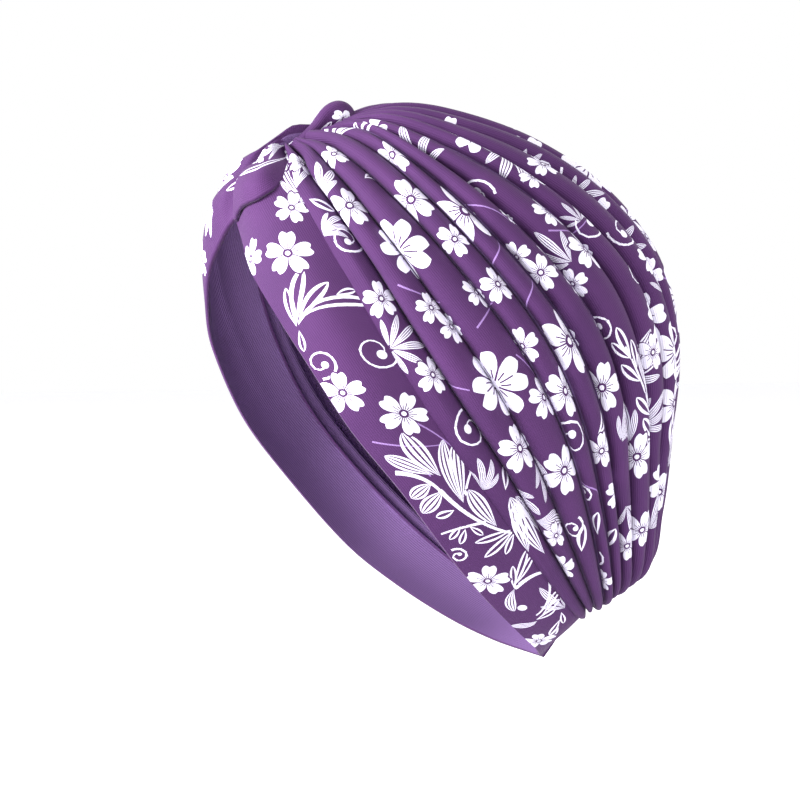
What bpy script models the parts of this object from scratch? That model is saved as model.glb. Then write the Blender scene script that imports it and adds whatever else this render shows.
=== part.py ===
"""Pleated turban cap of stretch jersey: a gathered crown, a flat band on each side of the face
opening and a small wrap of cloth on top.

The wearer faces -Y and the wearer's left is +X. The origin is the middle of the head.
The crown is drawn round the line from the knot on top to the gather at the nape: a station runs
from 0 at the knot to 1 at the nape, and an angle runs round that line from 0 at the back."""

import math

import bmesh
import bpy
from mathutils import Vector

MM = 0.001

# Ends of the line that the pleats are gathered to, from the middle of the head
KNOT_AHEAD = 40 * MM
KNOT_UP = 104 * MM
NAPE_BEHIND = 72 * MM
NAPE_DOWN = 97 * MM

# Reach of the crown from that line, at the crests of the pleats
BACK_REACH = 97 * MM
HALF_WIDTH = 77 * MM
FRONT_REACH = 120 * MM

# Edge of the face opening: its highest and lowest points, and how far it lies ahead and behind
RIM_UP = 61 * MM
RIM_DOWN = 122 * MM
RIM_AHEAD = 86 * MM
RIM_BEHIND = 54 * MM
RIM_HALF_WIDTH = 68 * MM

# Cloth
CROWN_WALL = 1.6 * MM
BAND_WALL = 2.0 * MM
PLEAT_DEPTH = 4.5 * MM
BAND_BULGE = 8.0 * MM
BAND_FOLD = 2.4 * MM
SEAM_GAP = 0.4 * MM
CROSSING_GAP = 0.8 * MM

# Wrap of cloth on top
KNOT_LENGTH = 30 * MM
KNOT_WIDTH = 18 * MM
KNOT_HEIGHT = 5.0 * MM
KNOT_FORWARD = 5 * MM
KNOT_CLEAR = 2.4 * MM
KNOT_DROOP = 3.0 * MM
KNOT_CREASE = 0.8 * MM

# How finely the cloth is drawn
CROWN_ROWS = 21
BAND_COLUMNS = 28
BAND_ROWS = 8
KNOT_SIDES = 16
KNOT_RINGS = 10

# Sections of the crown, at even stations. along is the share of the line from knot to nape; back,
# side and front are shares of BACK_REACH, HALF_WIDTH and FRONT_REACH; depth is of PLEAT_DEPTH.
SECTION_COLUMNS = ("along", "back", "side", "front", "depth")
SECTIONS = (
    (0.000, 0.00, 0.00, 0.00, 0.00),
    (0.025, 0.26, 0.36, 0.42, 0.70),
    (0.095, 0.49, 0.61, 0.59, 1.00),
    (0.205, 0.73, 0.82, 0.75, 1.00),
    (0.345, 0.92, 0.95, 0.91, 1.00),
    (0.500, 1.00, 1.00, 1.00, 1.00),
    (0.655, 0.91, 0.95, 0.94, 1.00),
    (0.795, 0.69, 0.81, 0.80, 1.00),
    (0.915, 0.50, 0.62, 0.60, 0.95),
    (1.000, 0.33, 0.38, 0.36, 0.70),
    (0.985, 0.00, 0.00, 0.00, 0.00),
)

# Folds between the pleats of one side, in degrees from the middle of the back, at the knot, above
# the brow, half way and at the nape. The last row is the fold where the band begins.
FOLD_STATIONS = (0.0, 0.16, 0.5, 1.0)
FOLDS = (
    (0, 0, 0, 0),
    (13, 12, 11, 12),
    (26, 24, 22, 24),
    (40, 37, 33, 35),
    (54, 50, 44, 47),
    (66, 62, 54, 58),
    (78, 73, 66, 70),
    (90, 83, 75, 80),
    (101, 92, 83, 88),
    (112, 101, 90, 94),
    (122, 110, 98, 99),
    (131, 119, 105, 104),
    (140, 127, 112, 108),
)

# How far the shallow fold between the crown and a band sinks, as a share of the pleats' depth
BAND_SINK = 0.5

# Cross-section of one pleat: place across it, and how much of the depth its cloth stands up
PLEAT_SHAPE = (
    (0.00, 0.00),
    (0.18, 0.70),
    (0.50, 1.00),
    (0.82, 0.70),
)

# Edge of the face opening on one side, from brow to nape. run is the share of the band's length;
# out is a share of RIM_HALF_WIDTH, back of the rim's length and down of its height; swell is of
# BAND_BULGE, how far the band bows out between its two edges.
RIM_COLUMNS = ("run", "out", "back", "down", "swell")
RIM = (
    (0.00, 0.00, 0.02, 0.00, 0.90),
    (0.12, 0.15, 0.01, 0.04, 0.95),
    (0.22, 0.37, 0.00, 0.11, 0.95),
    (0.31, 0.61, 0.03, 0.20, 0.90),
    (0.38, 0.79, 0.08, 0.29, 0.80),
    (0.47, 0.93, 0.20, 0.45, 0.60),
    (0.56, 0.98, 0.35, 0.59, 0.45),
    (0.67, 0.90, 0.53, 0.75, 0.40),
    (0.76, 0.76, 0.66, 0.84, 0.35),
    (0.86, 0.56, 0.80, 0.92, 0.30),
    (0.94, 0.33, 0.91, 0.97, 0.25),
    (1.00, 0.00, 1.00, 1.00, 0.20),
)

# Share of the run that the bands keep clear of the points where the pleats are gathered
TIP_CLEAR = 0.004

# Share of the run over which the bands turn to face straight ahead at the middle of the brow
MIDDLE_BLEND = 0.08

# How far the right band crosses over the left one, as a share of the run, from its top to its edge
CROSSING = (0.00, 0.00, 0.00, 0.00, 0.06, 0.11, 0.10, 0.06, 0.01)

# The crossing end of the right band is lifted over the left one below this share of its run, from
# this share of its width down, and its two rolls run out at this share of its run
LIFT_ENDS = 0.15
LIFT_STARTS = 0.24
LIFT_FULL = 0.42
ROLLS_END = 0.45

MERGE = 0.001 * MM

JERSEY_COLOUR = (0.155, 0.050, 0.235, 1.0)
JERSEY_ROUGHNESS = 0.8

KNOT = Vector((0.0, -KNOT_AHEAD, KNOT_UP))
NAPE = Vector((0.0, NAPE_BEHIND, -NAPE_DOWN))
AXIS = NAPE - KNOT
DOWN_AXIS = AXIS.normalized()
BACKWARD = Vector((0.0, -DOWN_AXIS.z, DOWN_AXIS.y))


def curve(places, values, place):
    """Value at a place on a smooth curve through the given points."""
    last = len(places) - 1
    left = 0
    while left < last - 1 and place > places[left + 1]:
        left += 1

    def slope(index):
        before = max(index - 1, 0)
        after = min(index + 1, last)
        return (values[after] - values[before]) / (places[after] - places[before])

    width = places[left + 1] - places[left]
    t = (place - places[left]) / width
    rise = values[left + 1] - values[left]
    start = slope(left) * width
    end = slope(left + 1) * width
    return values[left] + t * start + t * t * (3 * rise - 2 * start - end) + t ** 3 * (start + end - 2 * rise)


def ease(value):
    """Smooth step from 0 to 1."""
    value = min(max(value, 0.0), 1.0)
    return value * value * (3 - 2 * value)


def section(column, station):
    """One column of the crown's sections at a station."""
    index = SECTION_COLUMNS.index(column)
    stations = [row / (len(SECTIONS) - 1) for row in range(len(SECTIONS))]
    return curve(stations, [row[index] for row in SECTIONS], station)


def fold_angle(fold, station):
    """Angle of a fold of one side, in radians from the middle of the back."""
    return math.radians(curve(FOLD_STATIONS, FOLDS[fold], station))


def crown_base(station, angle):
    """Point on the smooth surface that the crests of the pleats touch."""
    reach = BACK_REACH * section("back", station)
    if math.cos(angle) < 0:
        reach = FRONT_REACH * section("front", station)
    out = HALF_WIDTH * section("side", station) * math.sin(angle)
    back = BACKWARD * (reach * math.cos(angle))
    return KNOT + AXIS * section("along", station) + back + Vector((out, 0.0, 0.0))


def crown_normal(station, angle):
    """Outward direction of the smooth surface."""
    step = 0.01
    station = min(max(station, 2 * step), 1 - 2 * step)
    down = crown_base(station + step, angle) - crown_base(station - step, angle)
    return crown_round(station, angle).cross(down).normalized()


def crown_round(station, angle):
    """Direction round the line that the pleats are gathered to, towards the front."""
    step = 0.01
    station = min(max(station, step), 1 - step)
    return (crown_base(station, angle + step) - crown_base(station, angle - step)).normalized()


def crown_columns():
    """Fold number, place across the pleat and height of each column of one side, from the back."""
    columns = []
    for pleat in range(len(FOLDS) - 1):
        for across, height in PLEAT_SHAPE:
            columns.append((pleat, across, height))
    columns.append((len(FOLDS) - 2, 1.0, 1 - BAND_SINK))
    return columns


def crown_point(station, side, column, inward):
    """Point of the crown's cloth, on its outside or a wall's thickness inside it."""
    pleat, across, height = column
    start = fold_angle(pleat, station)
    angle = side * (start + across * (fold_angle(pleat + 1, station) - start))
    depth = PLEAT_DEPTH * section("depth", station) * (1 - height)
    return crown_base(station, angle) - crown_normal(station, angle) * (depth + inward)


def rim_value(column, run):
    """One column of the face opening's edge at a share of its run."""
    index = RIM_COLUMNS.index(column)
    return curve([row[0] for row in RIM], [row[index] for row in RIM], run)


def rim_point(run):
    """Point on the edge of the face opening, on the wearer's left."""
    return Vector((
        RIM_HALF_WIDTH * rim_value("out", run),
        rim_value("back", run) * (RIM_AHEAD + RIM_BEHIND) - RIM_AHEAD,
        RIM_UP - rim_value("down", run) * (RIM_UP + RIM_DOWN),
    ))


def band_edge(run):
    """Place and outward direction of the band's top edge, clear of the crown's last pleat."""
    station = TIP_CLEAR + (1 - 2 * TIP_CLEAR) * run
    angle = fold_angle(-1, station)
    normal = crown_normal(station, angle)
    depth = BAND_SINK * PLEAT_DEPTH * section("depth", station)
    return crown_base(station, angle) - normal * depth + crown_round(station, angle) * SEAM_GAP, normal


def band_base(run, across):
    """Point on the outside of a plain band, on the wearer's left, and its outward direction."""
    top, top_normal = band_edge(run)
    rim = rim_point(run)
    step = 0.02
    along = rim_point(min(run + step, 1.0)) - rim_point(max(run - step, 0.0))
    rim_normal = along.cross(top - rim).normalized()
    normal = top_normal.lerp(rim_normal, ease(across))
    normal.x *= ease(run / MIDDLE_BLEND)
    normal.normalize()
    swell = BAND_BULGE * rim_value("swell", run) * math.sin(math.pi * across)
    return top.lerp(rim, across) + normal * swell, normal


def clear_of_middle(place):
    """The place, moved if need be to the wearer's left of the other band's end."""
    return Vector((max(place.x, SEAM_GAP / 2), place.y, place.z))


def left_band_point(run, across, inward):
    """Point of the left band's cloth."""
    place, normal = band_base(run, across)
    return clear_of_middle(place - normal * inward)


def right_band_point(run, across, inward):
    """Point of the right band's cloth. Its front end lies over the left band in two rolls."""
    place, normal = band_base(abs(run), across)
    share = ease((across - LIFT_STARTS) / (LIFT_FULL - LIFT_STARTS))
    lift = (BAND_WALL + CROSSING_GAP) * ease(1 - run / LIFT_ENDS)
    roll = BAND_FOLD * abs(math.sin(2 * math.pi * across))
    roll *= ease(1 - run / ROLLS_END) * ease(1 + run / max(CROSSING))
    place = clear_of_middle(place + normal * (share * (lift + roll) - inward))
    side = -1 if run >= 0 else 1
    return Vector((side * place.x, place.y, place.z))


def jersey():
    """Purple stretch jersey."""
    material = bpy.data.materials.new("purple_jersey")
    material.use_nodes = True
    shader = material.node_tree.nodes["Principled BSDF"]
    shader.inputs["Base Color"].default_value = JERSEY_COLOUR
    shader.inputs["Roughness"].default_value = JERSEY_ROUGHNESS
    shader.inputs["Metallic"].default_value = 0.0
    return material


def add_object(name, bm):
    """Close a bmesh into a smooth-shaded object with its own jersey material."""
    bmesh.ops.recalc_face_normals(bm, faces=bm.faces)
    mesh = bpy.data.meshes.new(name)
    bm.to_mesh(mesh)
    bm.free()
    mesh.shade_smooth()
    mesh.materials.append(jersey())
    part = bpy.data.objects.new(name, mesh)
    bpy.context.scene.collection.objects.link(part)
    return part


def cloth_wall(name, outside, inside):
    """Closed wall between two grids of points of the same size. A row may be a single point."""
    bm = bmesh.new()
    skins = []
    for grid in (outside, inside):
        rows = [[bm.verts.new(point) for point in row] for row in grid]
        for above, below in zip(rows, rows[1:]):
            for i in range(len(above) - 1):
                bm.faces.new((above[i], above[i + 1], below[i + 1], below[i]))
        skins.append(rows)
    outer, inner = skins
    borders = (
        (outer[0], inner[0]),
        (outer[-1], inner[-1]),
        ([row[0] for row in outer], [row[0] for row in inner]),
        ([row[-1] for row in outer], [row[-1] for row in inner]),
    )
    for near, far in borders:
        for i in range(len(near) - 1):
            bm.faces.new((near[i], near[i + 1], far[i + 1], far[i]))
    bmesh.ops.remove_doubles(bm, verts=bm.verts, dist=MERGE)
    bmesh.ops.dissolve_degenerate(bm, edges=bm.edges, dist=MERGE)
    return add_object(name, bm)


def make_crown():
    """The pleated crown, one wall of cloth from band to band over the back."""
    half = crown_columns()
    columns = [(-1, column) for column in reversed(half)] + [(1, column) for column in half[1:]]
    stations = [row / CROWN_ROWS for row in range(CROWN_ROWS + 1)]
    skins = [
        [[crown_point(station, side, column, inward) for side, column in columns] for station in stations]
        for inward in (0.0, CROWN_WALL)
    ]
    return cloth_wall("crown", *skins)


def make_band(name, point, front_ends):
    """A flat band from the brow to the nape, starting at the given shares of its run."""
    skins = []
    for inward in (0.0, BAND_WALL):
        rows = []
        for row, start in enumerate(front_ends):
            runs = [start + (1 - start) * column / BAND_COLUMNS for column in range(BAND_COLUMNS + 1)]
            rows.append([point(run, row / BAND_ROWS, inward) for run in runs])
        skins.append(rows)
    return cloth_wall(name, *skins)


def make_knot():
    """The wrap of cloth on top, a low creased lump that drapes over the ends of the pleats."""
    bm = bmesh.new()
    bmesh.ops.create_uvsphere(bm, u_segments=KNOT_SIDES, v_segments=KNOT_RINGS, radius=1.0)
    centre = KNOT - BACKWARD * KNOT_FORWARD
    for vert in bm.verts:
        across, along, up = vert.co
        spread = across * across + along * along
        droop = KNOT_DROOP * spread * (1 + along) / 2
        height = KNOT_HEIGHT * up if up > 0 else 0.0
        crease = KNOT_CREASE * (1 - math.cos(3 * math.pi * across)) * max(up, 0.0)
        vert.co = (
            centre
            + Vector((across * KNOT_WIDTH / 2, 0.0, 0.0))
            + BACKWARD * (along * KNOT_LENGTH / 2)
            - DOWN_AXIS * (KNOT_CLEAR + height - crease - droop)
        )
    return add_object("front_knot", bm)


def main():
    """Clear the scene and build the four pieces."""
    for old in list(bpy.data.objects):
        bpy.data.objects.remove(old, do_unlink=True)
    make_crown()
    make_band("band_left", left_band_point, [0.0] * (BAND_ROWS + 1))
    make_band("band_right", right_band_point, [-share for share in CROSSING])
    make_knot()


main()
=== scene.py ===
"""Looks of a pleated turban cap in printed stretch jersey.

The wearer faces -Y and the wearer's left is +X. The cap is drawn round the line from the knot on top
to the gather at the nape: a station runs from 0 at the knot to 1 at the nape, and an angle runs round
that line from 0 at the back. The print lies in the cloth's own coordinates, in millimetres."""

import logging
import math
from dataclasses import dataclass
from enum import Enum
from typing import NamedTuple

import bpy
import numpy as np
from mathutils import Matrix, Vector


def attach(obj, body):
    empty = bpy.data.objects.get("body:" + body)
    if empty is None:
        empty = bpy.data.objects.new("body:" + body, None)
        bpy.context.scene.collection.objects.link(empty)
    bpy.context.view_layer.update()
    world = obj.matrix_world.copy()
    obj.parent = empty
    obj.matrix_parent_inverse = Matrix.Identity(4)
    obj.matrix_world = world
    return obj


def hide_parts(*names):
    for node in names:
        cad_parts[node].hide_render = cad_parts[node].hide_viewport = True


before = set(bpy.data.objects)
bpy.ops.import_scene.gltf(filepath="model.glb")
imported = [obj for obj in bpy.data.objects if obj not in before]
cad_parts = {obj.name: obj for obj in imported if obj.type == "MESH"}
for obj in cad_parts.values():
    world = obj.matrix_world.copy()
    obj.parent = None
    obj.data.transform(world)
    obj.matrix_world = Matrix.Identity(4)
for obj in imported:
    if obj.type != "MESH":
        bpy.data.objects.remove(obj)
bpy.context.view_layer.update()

LOG = logging.getLogger("turban_cap")
MM = 0.001
BODY = "root"

# Sections of the crown, at even stations. along is the share of the line from knot to nape; back,
# side and front are shares of the crown's reach each way; depth is of the pleats' depth.
SECTION_COLUMNS = ("along", "back", "side", "front", "depth")
SECTIONS = np.array((
    (0.000, 0.00, 0.00, 0.00, 0.00),
    (0.025, 0.26, 0.36, 0.42, 0.70),
    (0.095, 0.49, 0.61, 0.59, 1.00),
    (0.205, 0.73, 0.82, 0.75, 1.00),
    (0.345, 0.92, 0.95, 0.91, 1.00),
    (0.500, 1.00, 1.00, 1.00, 1.00),
    (0.655, 0.91, 0.95, 0.94, 1.00),
    (0.795, 0.69, 0.81, 0.80, 1.00),
    (0.915, 0.50, 0.62, 0.60, 0.95),
    (1.000, 0.33, 0.38, 0.36, 0.70),
    (0.985, 0.00, 0.00, 0.00, 0.00),
))

# Folds between the pleats of one side, in degrees from the middle of the back, at four stations. The
# last row is the fold where the band begins.
FOLD_STATIONS = (0.0, 0.16, 0.5, 1.0)
FOLDS = np.array((
    (0, 0, 0, 0),
    (13, 12, 11, 12),
    (26, 24, 22, 24),
    (40, 37, 33, 35),
    (54, 50, 44, 47),
    (66, 62, 54, 58),
    (78, 73, 66, 70),
    (90, 83, 75, 80),
    (101, 92, 83, 88),
    (112, 101, 90, 94),
    (122, 110, 98, 99),
    (131, 119, 105, 104),
    (140, 127, 112, 108),
), dtype=float)
PLEATS = len(FOLDS) - 1

# Where each fold ends at the front gather: its station on the middle line above the brow.
FOLD_ENDS = np.array((0, 0, 0, 0, 0, 0.003, 0.007, 0.013, 0.021, 0.029, 0.034, 0.039, 0.043))

# Edge of the face opening on one side, from brow to nape: the share of the band's length, the shares
# of the opening's half width, depth and height at which the edge lies, and the band's swell.
RIM = np.array((
    (0.00, 0.00, 0.02, 0.00, 0.90),
    (0.12, 0.15, 0.01, 0.04, 0.95),
    (0.22, 0.37, 0.00, 0.11, 0.95),
    (0.31, 0.61, 0.03, 0.20, 0.90),
    (0.38, 0.79, 0.08, 0.29, 0.80),
    (0.47, 0.93, 0.20, 0.45, 0.60),
    (0.56, 0.98, 0.35, 0.59, 0.45),
    (0.67, 0.90, 0.53, 0.75, 0.40),
    (0.76, 0.76, 0.66, 0.84, 0.35),
    (0.86, 0.56, 0.80, 0.92, 0.30),
    (0.94, 0.33, 0.91, 0.97, 0.25),
    (1.00, 0.00, 1.00, 1.00, 0.20),
))

# Edge of the right band's front end, where it lies over the left band: the share of the way from the
# middle of the brow to the gather, and the edge's places along and across the left band.
FLAP = np.array((
    (0.00, 0.000, 1.00),
    (0.20, 0.033, 0.95),
    (0.45, 0.085, 0.76),
    (0.68, 0.128, 0.51),
    (0.80, 0.130, 0.30),
    (0.90, 0.110, 0.14),
    (1.00, 0.080, 0.00),
))

# The wrap of cloth on top, from the brow to behind the knot: the share of its length, how far ahead
# of the origin and how high it lies, and half its width and height, in millimetres.
WRAP = np.array((
    (0.00, 70.0, 82.0, 1.5, 1.0),
    (0.16, 64.0, 87.6, 3.4, 2.6),
    (0.36, 56.0, 93.6, 4.2, 3.0),
    (0.55, 48.5, 99.6, 4.6, 3.6),
    (0.68, 43.5, 104.4, 5.4, 4.4),
    (0.80, 38.5, 106.6, 5.8, 4.4),
    (0.91, 34.5, 104.6, 4.6, 3.4),
    (1.00, 32.5, 101.0, 2.0, 1.4),
))


class Side(Enum):
    """A side of the cap, as the wearer sees it; the value is its sign along X."""

    LEFT = 1
    RIGHT = -1


class Motif(Enum):
    """A shape in the print, by the number that the cloth's faces carry for it."""

    NONE = 0
    FLOWER = 1
    CLOVER = 2
    LEAF = 3
    LINE = 4
    DOT = 5
    TENDRIL = 6
    PLUME = 7


def smooth_curve(places: np.ndarray, values: np.ndarray, at: np.ndarray) -> np.ndarray:
    """Values on smooth curves through the given points.

    Args:
        places: Where the points lie, rising.
        values: Value at each place, one row a place; further axes are separate curves.
        at: Where the curves are read.

    Returns:
        The values, shaped as at and then as one row of values.
    """
    places = np.asarray(places, float)
    values = np.asarray(values, float)
    at = np.asarray(at, float)
    slopes = np.empty_like(values)
    extra = (1,) * (values.ndim - 1)
    slopes[1:-1] = (values[2:] - values[:-2]) / (places[2:] - places[:-2]).reshape(-1, *extra)
    slopes[0] = (values[1] - values[0]) / (places[1] - places[0])
    slopes[-1] = (values[-1] - values[-2]) / (places[-1] - places[-2])
    left = np.clip(np.searchsorted(places, at) - 1, 0, len(places) - 2)
    width = places[left + 1] - places[left]
    t = ((at - places[left]) / width).reshape(at.shape + extra)
    width = width.reshape(at.shape + extra)
    rise = values[left + 1] - values[left]
    start = slopes[left] * width
    end = slopes[left + 1] * width
    return values[left] + t * start + t * t * (3 * rise - 2 * start - end) + t ** 3 * (start + end - 2 * rise)


def ease(value: np.ndarray) -> np.ndarray:
    """Smooth step from 0 to 1."""
    value = np.clip(value, 0.0, 1.0)
    return value * value * (3 - 2 * value)


def unit(vectors: np.ndarray) -> np.ndarray:
    """The vectors at length 1."""
    return vectors / np.maximum(np.linalg.norm(vectors, axis=-1, keepdims=True), 1e-12)


def linear(hex_colour: str) -> tuple[float, float, float, float]:
    """Linear colour with full alpha of an sRGB hex value such as #6B3F85."""
    channels = [int(hex_colour[i:i + 2], 16) / 255 for i in (1, 3, 5)]
    return (*(c / 12.92 if c <= 0.04045 else ((c + 0.055) / 1.055) ** 2.4 for c in channels), 1.0)


@dataclass(frozen=True)
class CapForm:
    """The cap's smooth form, from the named sizes of its construction, in metres."""

    knot_ahead: float = 40 * MM
    knot_up: float = 104 * MM
    nape_behind: float = 72 * MM
    nape_down: float = 97 * MM
    back_reach: float = 97 * MM
    half_width: float = 77 * MM
    front_reach: float = 120 * MM
    rim_up: float = 61 * MM
    rim_down: float = 122 * MM
    rim_ahead: float = 86 * MM
    rim_behind: float = 54 * MM
    rim_half_width: float = 68 * MM
    pleat_depth: float = 4.5 * MM
    band_sink: float = 0.5
    band_bulge: float = 8 * MM
    middle_blend: float = 0.08
    tip_clear: float = 0.004
    gather_fade: float = 0.0145
    gather_full: float = 0.008
    soft_until: float = 0.10
    soft_over: float = 0.14
    crown_step: float = 0.01
    rim_step: float = 0.02

    @property
    def knot(self) -> np.ndarray:
        """Where the pleats are gathered on top."""
        return np.array((0.0, -self.knot_ahead, self.knot_up))

    @property
    def axis(self) -> np.ndarray:
        """The line from the knot to the gather at the nape."""
        return np.array((0.0, self.nape_behind, -self.nape_down)) - self.knot

    @property
    def down(self) -> np.ndarray:
        """Direction of that line."""
        return unit(self.axis)

    @property
    def backward(self) -> np.ndarray:
        """Direction across that line, towards the cap's back."""
        return np.array((0.0, -self.down[2], self.down[1]))

    def section(self, column: str, station: np.ndarray) -> np.ndarray:
        """One column of the crown's sections at the stations."""
        places = np.linspace(0, 1, len(SECTIONS))
        return smooth_curve(places, SECTIONS[:, SECTION_COLUMNS.index(column)], station)

    def folds(self, station: np.ndarray) -> np.ndarray:
        """Angles of the folds of one side at the stations, in radians."""
        return np.radians(smooth_curve(FOLD_STATIONS, FOLDS.T, station))

    def gathered(self, station: np.ndarray, angle: np.ndarray, end: np.ndarray) -> np.ndarray:
        """Angles drawn to the middle above the brow, where lines of the cloth end at the front gather.

        Args:
            station: The stations.
            angle: The lines' angles clear of the gather.
            end: The station on the middle line where each line ends.

        Returns:
            The angles with the pull of the gather.
        """
        pull = np.exp(-np.maximum(station - end, 0) / self.gather_fade)
        return angle + (math.pi - angle) * pull * np.clip(end / self.gather_full, 0, 1)

    def seam_sink(self, station: np.ndarray) -> np.ndarray:
        """How deep the soft fold between the crown and a band lies, at the stations. It runs out
        towards the gather."""
        share = self.band_sink * ease((station - self.soft_until) / self.soft_over)
        return self.pleat_depth * self.section("depth", station) * share

    def crown(self, station: np.ndarray, angle: np.ndarray) -> np.ndarray:
        """Points on the surface that the crests of the pleats touch.

        Args:
            station: Stations from the knot to the nape.
            angle: Angles round that line, in radians.

        Returns:
            The points.
        """
        station, angle = np.broadcast_arrays(station, angle)
        cosine = np.cos(angle)
        front = self.front_reach * self.section("front", station)
        reach = np.where(cosine < 0, front, self.back_reach * self.section("back", station))
        across = self.half_width * self.section("side", station) * np.sin(angle)
        place = self.knot + self.section("along", station)[..., None] * self.axis
        place = place + (reach * cosine)[..., None] * self.backward
        place[..., 0] += across
        return place

    def crown_round(self, station: np.ndarray, angle: np.ndarray) -> np.ndarray:
        """Directions round the crown, towards the front on the wearer's left.

        Args:
            station: Stations from the knot to the nape.
            angle: Angles round that line, in radians.

        Returns:
            The directions, at length 1.
        """
        step = self.crown_step
        station = np.clip(station, step, 1 - step)
        return unit(self.crown(station, angle + step) - self.crown(station, angle - step))

    def crown_normal(self, station: np.ndarray, angle: np.ndarray) -> np.ndarray:
        """Outward directions of the crown.

        Args:
            station: Stations from the knot to the nape.
            angle: Angles round that line, in radians.

        Returns:
            The directions, at length 1.
        """
        step = self.crown_step
        station = np.clip(station, 2 * step, 1 - 2 * step)
        along = self.crown(station + step, angle) - self.crown(station - step, angle)
        return unit(np.cross(self.crown_round(station, angle), along))

    def rim(self, run: np.ndarray) -> np.ndarray:
        """Points on the edge of the face opening, on the wearer's left.

        Args:
            run: Shares of the band's length, from the brow.

        Returns:
            The points.
        """
        rows = smooth_curve(RIM[:, 0], RIM[:, 1:4], run)
        return np.stack((
            self.rim_half_width * rows[..., 0],
            rows[..., 1] * (self.rim_ahead + self.rim_behind) - self.rim_ahead,
            self.rim_up - rows[..., 2] * (self.rim_up + self.rim_down),
        ), axis=-1)

    def band_edge(self, run: np.ndarray) -> tuple[np.ndarray, np.ndarray]:
        """A band's top edge, at the crown's last fold.

        Args:
            run: Shares of the band's length, from the brow.

        Returns:
            The places and the outward directions.
        """
        station = self.tip_clear + (1 - 2 * self.tip_clear) * run
        angle = self.gathered(station, self.folds(station)[..., -1], FOLD_ENDS[-1])
        normal = self.crown_normal(station, angle)
        return self.crown(station, angle) - normal * self.seam_sink(station)[..., None], normal

    def band(self, run: np.ndarray, across: np.ndarray) -> tuple[np.ndarray, np.ndarray]:
        """The outside of a plain band, on the wearer's left.

        Args:
            run: Shares of the band's length, from the brow.
            across: Shares of its width, from the crown to the opening.

        Returns:
            The places and the outward directions.
        """
        run, across = np.broadcast_arrays(run, across)
        top, top_normal = self.band_edge(run)
        rim = self.rim(run)
        before, after = np.maximum(run - self.rim_step, 0.0), np.minimum(run + self.rim_step, 1.0)
        along = self.rim(after) - self.rim(before)
        rim_normal = unit(np.cross(along, top - rim))
        share = ease(across)[..., None]
        normal = top_normal * (1 - share) + rim_normal * share
        normal[..., 0] *= ease(run / self.middle_blend) * ease((1 - run) / self.middle_blend)
        normal = unit(normal)
        swell = self.band_bulge * smooth_curve(RIM[:, 0], RIM[:, 4], run) * np.sin(math.pi * across)
        place = top * (1 - across[..., None]) + rim * across[..., None]
        return place + normal * swell[..., None], normal


FORM = CapForm()


@dataclass
class ClothSkin:
    """One face of a cloth: a grid of points, and for each of its quads where it lies in the cloth.

    points is rows by columns by 3, in metres, and cloth is rows - 1 by columns - 1 by 4 corners by
    2, in millimetres across and along the cloth."""

    points: np.ndarray
    cloth: np.ndarray


def corners_of(grid: np.ndarray) -> np.ndarray:
    """The four corners of each quad of a grid, in the order that the faces take."""
    return np.stack((grid[:-1, :-1], grid[:-1, 1:], grid[1:, 1:], grid[1:, :-1]), axis=2)


def lengths_along(points: np.ndarray, axis: int) -> np.ndarray:
    """How far each point of a grid lies along it, from the first.

    Args:
        points: The points, with their coordinates last.
        axis: The way to measure along.

    Returns:
        The lengths, one a point.
    """
    leg = np.linalg.norm(np.diff(points, axis=axis), axis=-1)
    return np.concatenate((np.zeros_like(leg.take([0], axis=axis)), np.cumsum(leg, axis=axis)), axis=axis)


@dataclass(frozen=True)
class Penwork:
    """How the fans, sprays and curls are drawn: in shares of a length, millimetres or degrees."""

    arc_steps: int = 10
    fan_spread: float = 1.15
    fan_shortens: float = 0.7
    plume_width: float = 0.19
    spray_stem_mm: float = 0.8
    spray_most_mm: float = 30.0
    spray_before: float = 0.6
    spray_after: float = 0.4
    spray_leaf: float = 0.62
    spray_shortens: float = 0.25
    spray_leaf_width: float = 0.30
    spray_leaf_turn: float = 34
    spray_leaf_bend: float = 26
    spray_tip: float = 0.5
    spray_tip_width: float = 0.15
    spray_tip_bend: float = 0.4
    curl_steps: int = 26
    curl_opens: float = 1.5
    curl_closes: float = 1.15
    curl_turn: float = 0.30
    curl_line_mm: float = 0.55
    curl_dot: float = 0.34
    tendril_mm: float = 0.4


PEN = Penwork()


class Foot(NamedTuple):
    """Where a motif starts, across and along the cloth in millimetres, and its heading in degrees."""

    x: float
    y: float
    turn: float = 0.0


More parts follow.
